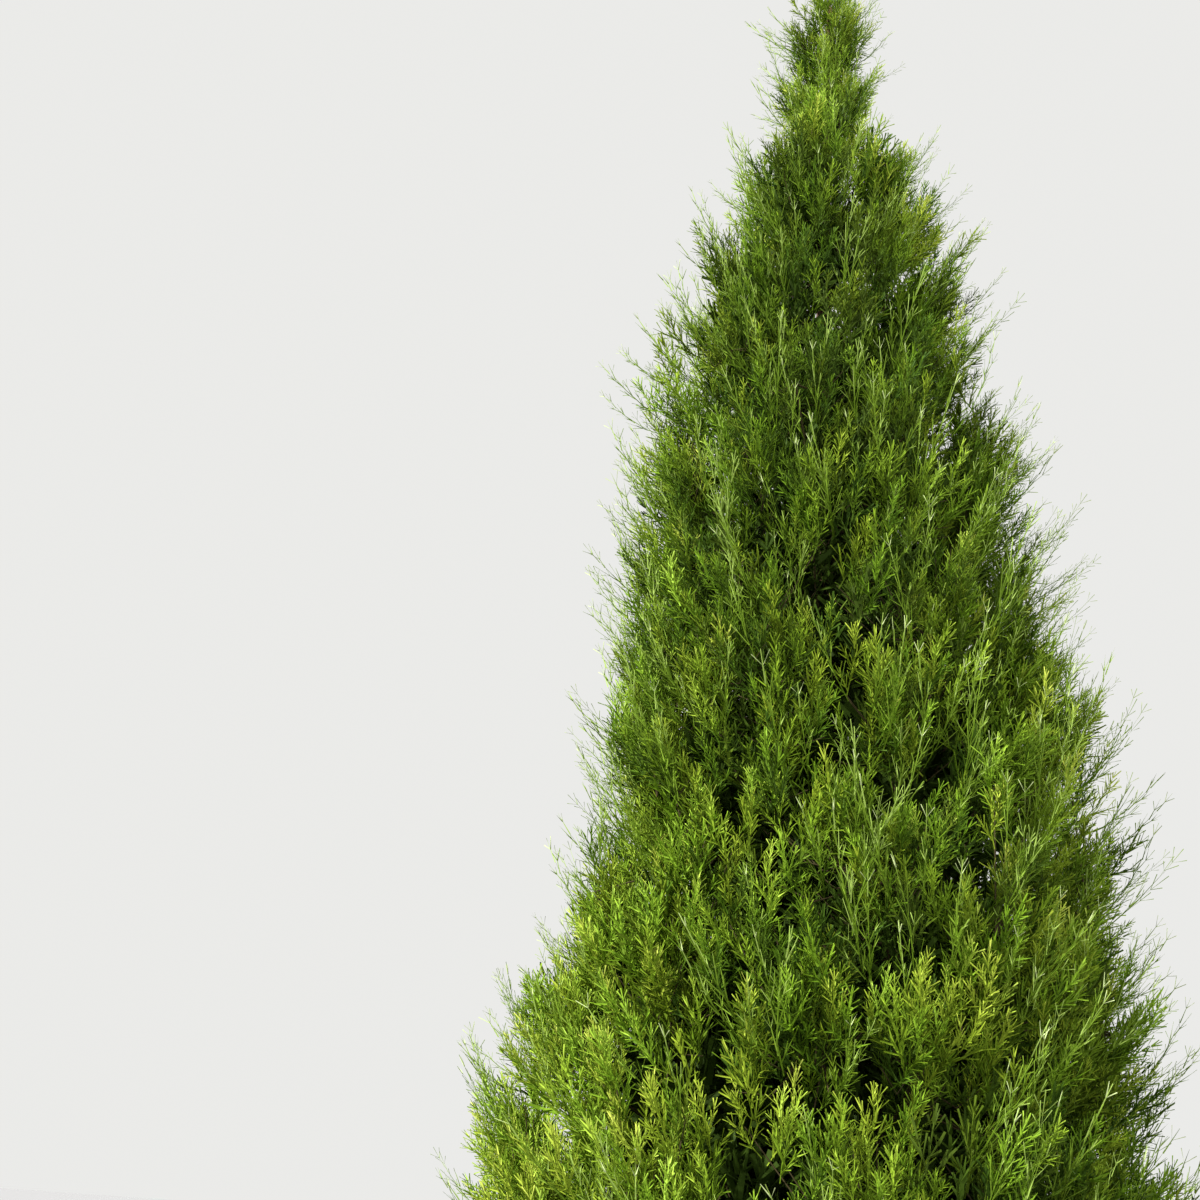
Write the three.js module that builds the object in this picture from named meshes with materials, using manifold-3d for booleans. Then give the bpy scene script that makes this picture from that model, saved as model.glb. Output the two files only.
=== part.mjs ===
// Eastern red cedar: a whole tree, rooted in the ground. One trunk runs up through the crown,
// boughs carry the lower masses of foliage, and the upper masses stand on the trunk itself.
// Millimetres, +Z up. The origin is on the flat cut under the trunk, at ground level.
import * as THREE from "three";
import { mergeVertices } from "three/addons/utils/BufferGeometryUtils.js";
import Module from "manifold-3d";

const wasm = await Module();
wasm.setup();

// Crown
const HEIGHT = 5000; // ground to the tip of the leader
const CROWN_RADIUS = 830; // half width of the crown low down
const CROWN_POWER = 1.8; // how the outline narrows: 1 is a straight cone, more is fuller
const SKIRT_HEIGHT = 650; // below this the crown rounds in towards the ground
const SKIRT_TUCK = 0.2; // share of the half width that the skirt has lost at the ground
const TIP_SHARE = 1.02; // tips may stand this far past the smooth outline
const TIP_MARGIN = 60; // and this much further, which tells near the top

// Trunk
const TRUNK_TIP = 4790;
const TRUNK_RADIUS = 58; // above the root flare
const TRUNK_TIP_RADIUS = 5;
const TRUNK_TAPER = 0.9; // 1 tapers evenly, less keeps it stout for longer
const FLARE_RADIUS = 27; // what the roots add at the ground
const FLARE_HEIGHT = 85; // the flare falls to about a third in this height
const FLARE_LOBES = 5;
const FLARE_LOBE_SHARE = 0.4;
const SWAY = [13, 9]; // the trunk wanders this far from the plumb line along X and along Y
const SWAY_LENGTH = [830, 1040]; // height of one radian of each wander
const TRUNK_SIDES = 12;
const TRUNK_STEPS = 18;
const TRUNK_STEP_POWER = 1.5; // more than 1 sets the rings closer at the flare

// How boughs rise: one born at a height on the trunk climbs more steeply the higher that is,
// and curves up as it goes out
const LOW_STEEPNESS = 0.12;
const STEEPNESS_GAIN = 0.0005; // added for each millimetre of birth height
const ARCH_START = 0.7;
const ARCH_CURVE = 0.00045;

// Tiers of masses, from the skirt to the leader
const FIRST_BIRTH = 130;
const LAST_BIRTH = 4740;
const MASSES_ROUND = [5, 5, 5, 4, 4, 4, 3, 3];
const TIERS_WITH_BOUGHS = 3;
const VIGOUR = [0.95, 1.05]; // how far a mass grows for its share of the crown
const SEED = 20;

// Clearances
const GAP = 0.3; // between pieces that touch on the tree
const SPACE_GAP = 5; // that foliage keeps to the edge of its own space
const LIMB_GAP = 6; // that foliage keeps to the trunk
const WELD = 1e-3; // corners closer than this are one

// Boughs
const BOUGH_OUT = 0.36; // a bough ends at this share of the way to the outline
const BOUGH_RADIUS = 15;
const BOUGH_SIDES = 5;
const BOUGH_STEPS = 3;
const BOUGH_DEPTH = 0.6; // share of the trunk's radius that a limb's foot is laid in, and then cut

// Stems and twigs of a mass
const STEM_RADIUS = 10;
const STEM_TIP_RADIUS = 6;
const STEM_SIDES = 4;
const STEM_END = 0.68; // a stem ends inside the core, at this share of the way to the outline
const STEM_LIFT = -0.3; // it starts this far below the middle of its space
const STEM_RISE = 0.35; // and has risen by this much where it ends
const TWIGS = [5, 5, 4, 4, 4, 4, 3, 3]; // twigs of a mass, by tier
const TWIG_RADIUS = 9;
const TWIG_TIP_RADIUS = 6.5;
const TWIG_SIDES = 3;
const LIMB_STEPS = 2;
const THINNEST = 0.5; // stems and twigs are this much thinner at the top of the crown
const TWIG_START = [0.1, 0.8]; // stretch of the stem that twigs leave from
const TWIG_SHIFT = [0.2, 0.8]; // where in its own part of that stretch a twig leaves
const TWIG_OUT = [0.8, 0.92]; // how near the outline a twig ends
const TWIG_LIFT = [-0.9, 0.45]; // lowest and highest end
const TWIG_SIDE = 0.8; // twigs reach this far to the sides of their space
const TWIG_STRAY = [-0.1, 0.1]; // from the even spread
const TWIG_BEND = 0.7; // share of its turn that a twig has made half way out
const GOLDEN = 0.618; // spreads the twigs evenly from side to side

// Sprays
const SPRAY_LONG = 350; // length of a spray at the foot of the crown
const SPRAY_SHORT = 140; // and at its top
const SPRAY_WIDTH_SHARE = 0.48;
const SPRAY_THICKNESS_SHARE = 0.05;
const SPRAY_STATIONS = [0.6, 0.76, 0.9, 1]; // where sprays leave a twig
const SPRAY_SINK = 1.5; // a spray's root goes this far past the middle of its twig
const SPRAY_ALONG = 0.45; // a spray's way is made of this much of its twig's way,
const SPRAY_UP = [0.75, 1]; // this much up,
const SPRAY_OUT = [0.15, 0.4]; // this much outward
const SPRAY_LEAN = 0.4; // and this much to one side, except at the twig's tip
const SPRAY_STRAY = [-0.15, 0.15];
const SPRAY_TURN = [-0.5, 0.5]; // radians that a spray's face is turned from facing outward
const SPRAY_SIZE = [0.9, 1.05];
const SPRAY_TRIES = 12; // turns tried before a spray that doesn't fit is left out
const SPRAY_SHRINK = 0.04; // length lost with each turn

// Cores
const CORE_SIDES = 7;
const CORE_RINGS = 4;
const CORE_SQUARE = 0.5; // 1 is an egg, less is fuller towards the corners of its space
const CORE_SIDE = 0.93; // share of the space that the core fills across
const CORE_LIFT = 0.93; // and up
const CORE_DENT = 0.16; // dents in the core go this deep
const CARRIED_CORE = [0.58, 0.26]; // middle and half length of the core on a bough
const TRUNK_CORE = [0.45, 0.37]; // and of the core on the trunk

// Leader
const LEADER_SPRAY = 135;
const LEADER_SPRAYS = 6; // round its stem, besides the one at its tip
const LEADER_TURN = THREE.MathUtils.degToRad(137.5); // from each of them to the next

const BARK = { color: 0x6e5140, roughness: 0.9, metalness: 0 };
const FOLIAGE = { color: 0x55741f, roughness: 0.7, metalness: 0 };

const UP = new THREE.Vector3(0, 0, 1);
const { lerp, clamp } = THREE.MathUtils;
const { PI } = Math;

// A stream of random numbers from 0 to 1 that is the same for the same seed
function seeded(seed) {
  let state = seed >>> 0;
  return () => {
    state = (state + 0x6d2b79f5) >>> 0;
    let mixed = Math.imul(state ^ (state >>> 15), state | 1);
    mixed ^= mixed + Math.imul(mixed ^ (mixed >>> 7), mixed | 61);
    return ((mixed ^ (mixed >>> 14)) >>> 0) / 4294967296;
  };
}

// The next random number, spread over a range
function between(random, [least, most]) {
  return least + (most - least) * random();
}

// Half width of the smooth crown at a height
function outlineRadius(height) {
  const cone = CROWN_RADIUS * (1 - Math.pow(clamp(height / HEIGHT, 0, 1), CROWN_POWER));
  const below = clamp(1 - height / SKIRT_HEIGHT, 0, 1);
  return cone * (1 - SKIRT_TUCK * below * below);
}

// The trunk's centre at a height
function trunkCentre(height) {
  const [x, y] = SWAY.map((sway, axis) => sway * Math.sin(height / SWAY_LENGTH[axis]));
  return new THREE.Vector3(x, y, height);
}

function trunkRadius(height) {
  const left = Math.max(0, 1 - height / TRUNK_TIP);
  return TRUNK_TIP_RADIUS + (TRUNK_RADIUS - TRUNK_TIP_RADIUS) * Math.pow(left, TRUNK_TAPER);
}

function flareRadius(height, azimuth) {
  const lobes = 1 + FLARE_LOBE_SHARE * Math.cos(FLARE_LOBES * azimuth);
  return FLARE_RADIUS * Math.exp(-height / FLARE_HEIGHT) * lobes;
}

// The bough line: how high a bough born at a height on the trunk is at a radius, and the reverse
const arch = (radius) => radius * (ARCH_START + ARCH_CURVE * radius);
const heightOn = (birth, radius) => birth + (LOW_STEEPNESS + STEEPNESS_GAIN * birth) * arch(radius);
const birthOf = (radius, height) =>
  (height - LOW_STEEPNESS * arch(radius)) / (1 + STEEPNESS_GAIN * arch(radius));

// Radius at which the bough line of a birth height leaves the crown, found by halving
function reachOf(birth) {
  let low = 0;
  let high = CROWN_RADIUS;
  while (high - low > WELD) {
    const middle = (low + high) / 2;
    if (outlineRadius(heightOn(birth, middle)) > middle) low = middle;
    else high = middle;
  }
  return low;
}

// A place in a mass's own space: out runs from 0 at the trunk to 1 at the crown's outline,
// side and lift from -1 to 1 across the space
function place(space, out, side, lift) {
  const birth = space.birth + lift * space.halfBand;
  const azimuth = space.azimuth + side * space.halfSector;
  const radius = lerp(trunkRadius(birth), space.vigour * reachOf(birth), out);
  const centre = trunkCentre(heightOn(birth, radius));
  centre.x += radius * Math.cos(azimuth);
  centre.y += radius * Math.sin(azimuth);
  return centre;
}

// Whether a point lies in a mass's own space, clear of its neighbours and of the trunk
function within(space, point) {
  const centre = trunkCentre(point.z);
  const radius = Math.hypot(point.x - centre.x, point.y - centre.y);
  if (radius > TIP_SHARE * space.vigour * outlineRadius(point.z) + TIP_MARGIN) return false;
  if (point.z < TRUNK_TIP + LIMB_GAP && radius < trunkRadius(point.z) + LIMB_GAP) return false;
  const turned = Math.atan2(point.y - centre.y, point.x - centre.x) - space.azimuth;
  const aside = Math.abs(Math.atan2(Math.sin(turned), Math.cos(turned)));
  if ((space.halfSector - aside) * radius < SPACE_GAP) return false;
  return Math.abs(birthOf(radius, point.z) - space.birth) < space.halfBand - SPACE_GAP;
}

// A closed geometry as a solid that can be cut and joined
function solid(geometry) {
  const bare = geometry.clone();
  bare.deleteAttribute("normal");
  bare.deleteAttribute("uv");
  const merged = mergeVertices(bare, WELD);
  return new wasm.Manifold(
    new wasm.Mesh({
      numProp: 3,
      vertProperties: merged.attributes.position.array,
      triVerts: new Uint32Array(merged.index.array),
    }),
  );
}

function geometryOf(made) {
  const mesh = made.getMesh();
  const geometry = new THREE.BufferGeometry();
  geometry.setAttribute("position", new THREE.BufferAttribute(mesh.vertProperties, 3));
  geometry.setIndex(new THREE.BufferAttribute(mesh.triVerts, 1));
  geometry.computeVertexNormals();
  return geometry;
}

// Joins solids and cuts others away. Only the largest body is kept: sealed hollows are filled
// and loose scraps are dropped.
function joined(solids, cutters) {
  const whole = wasm.Manifold.union(solids);
  const left = cutters.reduce((rest, cutter) => rest.subtract(cutter), whole);
  return left.decompose().sort((a, b) => b.volume() - a.volume())[0];
}

// Moves each vertex of a geometry to where a rule puts it
function reshaped(geometry, rule) {
  const position = geometry.attributes.position;
  const vertex = new THREE.Vector3();
  for (let i = 0; i < position.count; i++) {
    vertex.fromBufferAttribute(position, i);
    const moved = rule(vertex);
    position.setXYZ(i, moved.x, moved.y, moved.z);
  }
  return geometry;
}

// A tapering limb along a path: a cylinder bent to the path's frames
function limb(path, startRadius, endRadius, sides, steps) {
  const curve = new THREE.CatmullRomCurve3(path);
  const frames = curve.computeFrenetFrames(steps);
  const bent = reshaped(new THREE.CylinderGeometry(1, 1, 1, sides, steps), (vertex) => {
    const along = clamp(vertex.y + 0.5, 0, 1);
    const step = Math.round(along * steps);
    const radius = lerp(startRadius, endRadius, along);
    return curve
      .getPointAt(along)
      .addScaledVector(frames.binormals[step], vertex.x * radius)
      .addScaledVector(frames.normals[step], vertex.z * radius);
  });
  return solid(bent);
}

// The trunk, grown all over by a clearance when it serves to cut its neighbours
function trunkGeometry(clearance) {
  const tube = new THREE.CylinderGeometry(1, 1, 1, TRUNK_SIDES, TRUNK_STEPS);
  return reshaped(tube, (vertex) => {
    const share = clamp(vertex.y + 0.5, 0, 1);
    const height = TRUNK_TIP * Math.pow(share, TRUNK_STEP_POWER);
    const azimuth = Math.atan2(vertex.z, vertex.x);
    const across = Math.hypot(vertex.x, vertex.z);
    const radius = across * (trunkRadius(height) + flareRadius(height, azimuth) + clearance);
    const centre = trunkCentre(height);
    centre.x += radius * Math.cos(azimuth);
    centre.y -= radius * Math.sin(azimuth);
    return centre;
  });
}

// A bough carries a mass low in the crown: it leaves the trunk and ends at the mass's stem.
// Grown all over by a clearance, it serves to cut that stem.
function boughSolid(space, clearance) {
  const foot = place(space, 0, 0, STEM_LIFT);
  const middle = place(space, BOUGH_OUT / 2, 0, STEM_LIFT);
  const tip = stemAt(space, 0);
  const end = tip.clone().addScaledVector(tip.clone().sub(middle).normalize(), clearance - GAP);
  const path = [foot.lerp(trunkCentre(foot.z), BOUGH_DEPTH), middle, end];
  return limb(path, BOUGH_RADIUS + clearance, STEM_RADIUS + clearance, BOUGH_SIDES, BOUGH_STEPS);
}

// The outline of a spray one unit long, root at the origin, with teeth that point forward
const SPRAY_OUTLINE = [
  [0, 0],
  [0.5, 0.5],
  [0.16, 0.56],
  [0.24, 0.84],
  [0, 1],
  [-0.18, 0.66],
  [-0.5, 0.62],
];

// The points of a spray as a toothed blade: its rim, then the middle of its front and its back,
// where it is thickest
function sprayPoints(root, direction, face, length) {
  const across = new THREE.Vector3().crossVectors(direction, face).normalize();
  const proud = new THREE.Vector3().crossVectors(across, direction).normalize();
  const at = (x, y, z) =>
    root
      .clone()
      .addScaledVector(across, x * length * SPRAY_WIDTH_SHARE)
      .addScaledVector(direction, y * length - SPRAY_SINK)
      .addScaledVector(proud, z * length * SPRAY_THICKNESS_SHARE);
  const rim = SPRAY_OUTLINE.map(([x, y]) => at(x, y, 0));
  return [...rim, at(0, 0.5, 0.5), at(0, 0.5, -0.5)];
}

function spraySolid(points) {
  const front = points.length - 2;
  const back = front + 1;
  const index = [];
  for (let i = 0; i < front; i++) {
    const next = (i + 1) % front;
    index.push(front, i, next, back, next, i);
  }
  return solid(new THREE.BufferGeometry().setFromPoints(points).setIndex(index));
}

// A spray climbs from its root. It is turned and shortened until it lies in its space and
// touches no other piece of its mass, and is left out if no turn does.
function growSpray(mass, root, along, outward, lean, others) {
  const { space, random, sprays } = mass;
  const sideways = new THREE.Vector3().crossVectors(UP, outward);
  for (let turn = 0; turn < SPRAY_TRIES; turn++) {
    const direction = along
      .clone()
      .multiplyScalar(SPRAY_ALONG)
      .addScaledVector(UP, between(random, SPRAY_UP))
      .addScaledVector(outward, between(random, SPRAY_OUT))
      .addScaledVector(sideways, lean + between(random, SPRAY_STRAY))
      .normalize();
    const face = outward.clone().applyAxisAngle(direction, between(random, SPRAY_TURN));
    const length = mass.sprayLength * (1 - SPRAY_SHRINK * turn) * between(random, SPRAY_SIZE);
    const points = sprayPoints(root, direction, face, length);
    if (!points.every((point) => within(space, point))) continue;
    const spray = spraySolid(points);
    if ([...sprays, ...others].some((other) => !other.intersect(spray).isEmpty())) continue;
    sprays.push(spray);
    return;
  }
}

// The stem of a mass, from its bough's tip or the trunk into the core
function stemAt(space, t) {
  return place(space, lerp(space.stemOut, STEM_END, t), 0, STEM_LIFT + STEM_RISE * t);
}

// The twigs of a mass fan out from its stem across the space, each to a place of its own
function twigPaths(space) {
  const random = seeded(space.seed);
  const paths = [];
  for (let i = 0; i < space.twigs; i++) {
    const start = lerp(...TWIG_START, (i + between(random, TWIG_SHIFT)) / space.twigs);
    const side = TWIG_SIDE * (2 * ((0.5 + GOLDEN * i) % 1) - 1) + between(random, TWIG_STRAY);
    const lift = lerp(...TWIG_LIFT, (i + 0.5) / space.twigs) + between(random, TWIG_STRAY);
    const out = between(random, TWIG_OUT);
    const startOut = lerp(space.stemOut, STEM_END, start);
    const startLift = STEM_LIFT + STEM_RISE * start;
    paths.push([
      stemAt(space, start),
      place(space, (startOut + out) / 2, TWIG_BEND * side, lerp(startLift, lift, TWIG_BEND)),
      place(space, out, side, lift),
    ]);
  }
  return paths;
}

// The core of a dense mass: a dented lump that fills the middle of its space
function coreSolid(space) {
  const random = seeded(space.seed + 1);
  const dents = new Map();
  const dentOf = (vertex) => {
    const key = vertex.toArray().map((x) => Math.round(x / WELD)).join();
    if (!dents.has(key)) dents.set(key, 1 - CORE_DENT * random());
    return dents.get(key);
  };
  const fuller = (x) => Math.sign(x) * Math.pow(Math.abs(x), CORE_SQUARE);
  const [middle, half] = space.core;
  const lump = reshaped(new THREE.SphereGeometry(1, CORE_SIDES, CORE_RINGS), (vertex) => {
    const dent = dentOf(vertex);
    return place(
      space,
      middle + half * fuller(vertex.x) * dent,
      CORE_SIDE * fuller(vertex.z) * dent,
      -CORE_LIFT * fuller(vertex.y) * dent,
    );
  });
  return solid(lump);
}

// One mass of foliage: a stem, twigs that fan out from it, sprays on the twigs and a core inside,
// cut clear of what carries it
function massSolid(space, carriers) {
  const share = outlineRadius(space.birth) / CROWN_RADIUS;
  const thinner = lerp(THINNEST, 1, share);
  const thin = (path, startRadius, endRadius, sides) =>
    limb(path, startRadius * thinner, endRadius * thinner, sides, LIMB_STEPS);
  const stemPath = [0, 0.5, 1].map((t) => stemAt(space, t));
  if (space.stemOut === 0) stemPath[0].lerp(trunkCentre(stemPath[0].z), BOUGH_DEPTH);
  const stem = thin(stemPath, STEM_RADIUS, STEM_TIP_RADIUS, STEM_SIDES);
  const core = coreSolid(space);
  const paths = twigPaths(space).filter((path) => path.every((point) => within(space, point)));
  const twigs = paths.map((path) => thin(path, TWIG_RADIUS, TWIG_TIP_RADIUS, TWIG_SIDES));
  const mass = {
    space,
    random: seeded(space.seed + 2),
    sprays: [],
    sprayLength: lerp(SPRAY_SHORT, SPRAY_LONG, share),
  };
  paths.forEach((path, i) => {
    const others = [core, stem, ...carriers, ...twigs.filter((_, k) => k !== i)];
    const twig = new THREE.CatmullRomCurve3(path);
    SPRAY_STATIONS.forEach((t, k) => {
      const lean = t === 1 ? 0 : SPRAY_LEAN * (k % 2 ? 1 : -1);
      const root = twig.getPointAt(t);
      const outward = root.clone().sub(trunkCentre(root.z)).setZ(0).normalize();
      growSpray(mass, root, twig.getTangentAt(t), outward, lean, others);
    });
  });
  return joined([stem, core, ...twigs, ...mass.sprays], carriers);
}

// The leader stands on the trunk's tip: a straight stem with a spray at its top and more round it
function leaderSolid(space) {
  const foot = trunkCentre(TRUNK_TIP + GAP);
  const top = trunkCentre(HEIGHT - LEADER_SPRAY);
  const outwardAt = (azimuth) => new THREE.Vector3(Math.cos(azimuth), Math.sin(azimuth), 0);
  const crowning = sprayPoints(top, UP, outwardAt(0), LEADER_SPRAY + SPRAY_SINK);
  const mass = {
    space,
    random: seeded(space.seed),
    sprays: [spraySolid(crowning)],
    sprayLength: LEADER_SPRAY,
  };
  for (let i = 0; i < LEADER_SPRAYS; i++) {
    const root = foot.clone().lerp(top, (i + 1) / (LEADER_SPRAYS + 1));
    growSpray(mass, root, UP, outwardAt(i * LEADER_TURN), 0, []);
  }
  const path = [foot, foot.clone().lerp(top, 0.5), top];
  const stem = limb(path, TRUNK_TIP_RADIUS, TWIG_TIP_RADIUS, STEM_SIDES, LIMB_STEPS);
  return joined([stem, ...mass.sprays], []);
}

const tree = new THREE.Group();
function add(name, geometry, finish) {
  const mesh = new THREE.Mesh(geometry, new THREE.MeshStandardMaterial(finish));
  mesh.name = name;
  tree.add(mesh);
}

const clearOfTrunk = solid(trunkGeometry(GAP / Math.cos(PI / TRUNK_SIDES)));
add("trunk", trunkGeometry(0), BARK);

const halfBand = (LAST_BIRTH - FIRST_BIRTH) / MASSES_ROUND.length / 2;
MASSES_ROUND.forEach((round, tier) => {
  const carried = tier < TIERS_WITH_BOUGHS;
  for (let i = 0; i < round; i++) {
    const number = `${tier + 1}_${i + 1}`;
    const seed = SEED + 100 * tier + 10 * i;
    const space = {
      birth: FIRST_BIRTH + (2 * tier + 1) * halfBand,
      halfBand,
      azimuth: ((2 * i + tier) * PI) / round, // each tier is turned by half a space
      halfSector: PI / round,
      vigour: between(seeded(seed), VIGOUR),
      stemOut: carried ? BOUGH_OUT : 0,
      core: carried ? CARRIED_CORE : TRUNK_CORE,
      twigs: TWIGS[tier],
      seed,
    };
    const carriers = [clearOfTrunk];
    if (carried) {
      const bough = joined([boughSolid(space, 0)], [clearOfTrunk]);
      add(`bough_${number}`, geometryOf(bough), BARK);
      carriers.push(boughSolid(space, GAP));
    }
    add(`foliage_${number}`, geometryOf(massSolid(space, carriers)), FOLIAGE);
  }
});

// The leader's space is the whole round above the last tier
const leaderSpace = {
  birth: LAST_BIRTH + halfBand,
  halfBand,
  azimuth: 0,
  halfSector: Infinity,
  vigour: 1,
  seed: SEED,
};
add("foliage_leader", geometryOf(leaderSolid(leaderSpace)), FOLIAGE);

export default tree;
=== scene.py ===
"""Eastern red cedar: the dressed tree. The trunk and boughs get bark with real relief, and each mass
of foliage is grown again from its limb by the same rule as its solid, down to the single shoots.
Metres, +Z up, the origin on the flat cut under the trunk."""

import math
from types import SimpleNamespace

import bpy
import numpy as np
from mathutils import Matrix, Quaternion, Vector
from mathutils.kdtree import KDTree


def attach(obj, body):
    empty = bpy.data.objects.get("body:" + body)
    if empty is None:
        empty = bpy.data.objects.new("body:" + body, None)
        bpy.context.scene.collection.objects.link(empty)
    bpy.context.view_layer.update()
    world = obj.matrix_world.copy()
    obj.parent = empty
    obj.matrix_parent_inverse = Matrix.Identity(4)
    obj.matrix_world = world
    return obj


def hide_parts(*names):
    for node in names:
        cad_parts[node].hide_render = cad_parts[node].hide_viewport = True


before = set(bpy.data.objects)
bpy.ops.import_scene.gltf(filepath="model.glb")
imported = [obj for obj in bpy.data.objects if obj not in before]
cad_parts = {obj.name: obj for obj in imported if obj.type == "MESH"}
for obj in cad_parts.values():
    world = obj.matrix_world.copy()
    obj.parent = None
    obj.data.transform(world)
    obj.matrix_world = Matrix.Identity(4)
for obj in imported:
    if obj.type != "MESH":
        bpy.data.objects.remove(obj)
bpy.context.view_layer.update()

# Crown
HEIGHT = 5.0
CROWN_RADIUS = 0.83
CROWN_POWER = 1.8
SKIRT_HEIGHT = 0.65
SKIRT_TUCK = 0.2
TIP_MARGIN = 0.06

# Trunk
TRUNK_TIP = 4.79
TRUNK_RADIUS = 0.058
TRUNK_TIP_RADIUS = 0.005
TRUNK_TAPER = 0.9
FLARE_RADIUS = 0.027
FLARE_HEIGHT = 0.085
FLARE_LOBES = 5
FLARE_LOBE_SHARE = 0.4
SWAY = (0.013, 0.009)
SWAY_LENGTH = (0.83, 1.04)
TRUNK_SIDES = 72
TRUNK_RINGS = 200
RING_BUNCHING = 1.6

# How boughs rise
LOW_STEEPNESS = 0.12
STEEPNESS_GAIN = 0.5
ARCH_START = 0.7
ARCH_CURVE = 0.45
REACH_STEPS = 20

# Tiers of masses
FIRST_BIRTH = 0.13
LAST_BIRTH = 4.74
MASSES_ROUND = (5, 5, 5, 4, 4, 4, 3, 3)
TIERS_WITH_BOUGHS = 3
VIGOUR = (0.95, 1.05)

# The first seed, what each tier and mass adds to it, and what each thing that is grown adds. The last
# four stand alone: each is the seed of the first shape of its sort.
SEED = 20
SEED_PER_TIER = 100
SEED_PER_MASS = 10
ENDS_SEED = 1
MENDS_SEED = 2
INNER_LIMBS_SEED = 3
INNER_SPRAYS_SEED = 4
BRANCHLET_SEED = 1000
MENDED_SEED = 5000
FULL_SHAPE_SEED = 700
WISP_SHAPE_SEED = 800
DEEP_SHAPE_SEED = 900
UNDER_SHAPE_SEED = 950

# Boughs, stems and twigs
GAP = 0.0003
BOUGH_OUT = 0.36
BOUGH_RADIUS = 0.015
BOUGH_DEPTH = 0.6
BOUGH_SIDES = 20
BOUGH_STEPS = 26
LIMB_STEPS = 6
STEM_RADIUS = 0.010
STEM_TIP_RADIUS = 0.006
STEM_END = 0.68
STEM_LIFT = -0.3
STEM_RISE = 0.35
TWIGS = (5, 5, 4, 4, 4, 4, 3, 3)
TWIG_RADIUS = 0.007
TWIG_TIP_RADIUS = 0.003
THINNEST = 0.5
TWIG_START = (0.1, 0.8)
TWIG_SHIFT = (0.2, 0.8)
TWIG_OUT = (0.8, 0.92)
TWIG_LIFT = (-0.9, 0.45)
TWIG_SIDE = 0.8
TWIG_STRAY = (-0.1, 0.1)
TWIG_BEND = 0.7

# Steps that spread things evenly: along a line, round a circle and over a plane
GOLDEN = 0.618
GOLDEN_TURN = math.radians(137.5)
PLASTIC_STEP = (0.7548776662, 0.5698402910)

# Branchlets: finer twigs that end just under the crown's surface, spread evenly all over it
BRANCHLETS = 1740
LOWEST_END = 0.2
HIGHEST_END = 4.86
END_DEPTH = (0.04, 0.135)
END_STRAY = 0.02
LEAST_END_OUT = 0.25
LADDER_STEPS = 400
BRANCHLET_RADIUS = 0.0024
BRANCHLET_TIP_RADIUS = 0.0012
BRANCHLET_BEND = 0.55
BRANCHLET_SAG = 0.05
BRANCHLET_STEPS = 2

# How many steps a twig has at which a branchlet may leave it, and the first that it may take
START_STEPS = 10
FIRST_START = 2

# Waves all over the crown's skin: share of their relief, turns round it, turns up it and start
WAVE_RELIEF = 0.014
WAVES = (
    (0.5, 3, 4.1, 0),
    (0.5, 5, -6.3, 1),
    (0.4, 11, 9.7, 2),
    (0.4, 8, -15.1, 4),
)

# Ribs that wind up the crown's upper part
RIB_RELIEF = 0.034
RIBS_ROUND = 13
RIBS_TWIST = 2.5
RIBS_FROM = 2.5
RIBS_RISE = 0.9

# Swells (+), waists and hollows (-): direction in degrees, height, width in degrees, how tall and how
# far out. The last rows are the hollows between boughs on the side that faces -Y.
CROWN_SHAPE = (
    (90, 4.45, 400, 0.2, -0.07),
    (90, 4.38, 400, 0.08, -0.03),
    (191, 4.3, 30, 0.05, 0.02),
    (191, 4.13, 40, 0.25, -0.07),
    (191, 3.8, 20, 0.08, -0.12),
    (191, 3.5, 20, 0.08, 0.08),
    (191, 3.28, 25, 0.12, -0.02),
    (191, 2.85, 35, 0.5, -0.07),
    (191, 2.85, 20, 0.08, -0.03),
    (191, 2.52, 20, 0.07, -0.04),
    (191, 2.36, 20, 0.06, 0.01),
    (191, 2.3, 35, 0.3, -0.12),
    (191, 2.18, 30, 0.06, -0.03),
    (191, 1.75, 20, 0.12, 0.03),
    (349, 4.55, 60, 0.15, -0.03),
    (349, 4.35, 40, 0.2, -0.04),
    (349, 3.9, 20, 0.08, 0.03),
    (349, 3.52, 20, 0.08, -0.06),
    (349, 3.3, 20, 0.08, 0.04),
    (349, 2.83, 20, 0.08, -0.09),
    (349, 2.64, 20, 0.07, 0.07),
    (349, 2.45, 25, 0.1, 0.02),
    (349, 2.17, 25, 0.1, -0.08),
    (349, 1.7, 30, 0.4, -0.08),
    (322, 2.22, 8, 0.1, -0.05),
    (320, 1.66, 8, 0.1, -0.03),
    (257, 2.91, 8, 0.1, -0.07),
    (292, 2.77, 8, 0.09, -0.07),
    (262, 2.45, 7, 0.14, -0.05),
    (281, 2.05, 8, 0.08, -0.03),
    (235, 2.36, 7, 0.08, -0.03),
    (291, 3.6, 11, 0.1, -0.09),
    (267, 3.27, 10, 0.11, -0.09),
    (245, 3.08, 8, 0.08, -0.05),
    (300, 3.2, 9, 0.08, -0.06),
    (230, 3.41, 10, 0.1, -0.08),
    (266, 3.9, 14, 0.1, -0.07),
)

# A spray's shoot: where it bends, as shares of its reach and height, and how thick it is
SHOOT_BEND = (0.72, 0.42)
SHOOT_STRAY = (-0.12, 0.12)
SHOOT_STATIONS = (0, 0.35, 0.7, 1)
SHOOT_RADIUS = 0.0015
SHOOT_TAPER = 0.6

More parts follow.
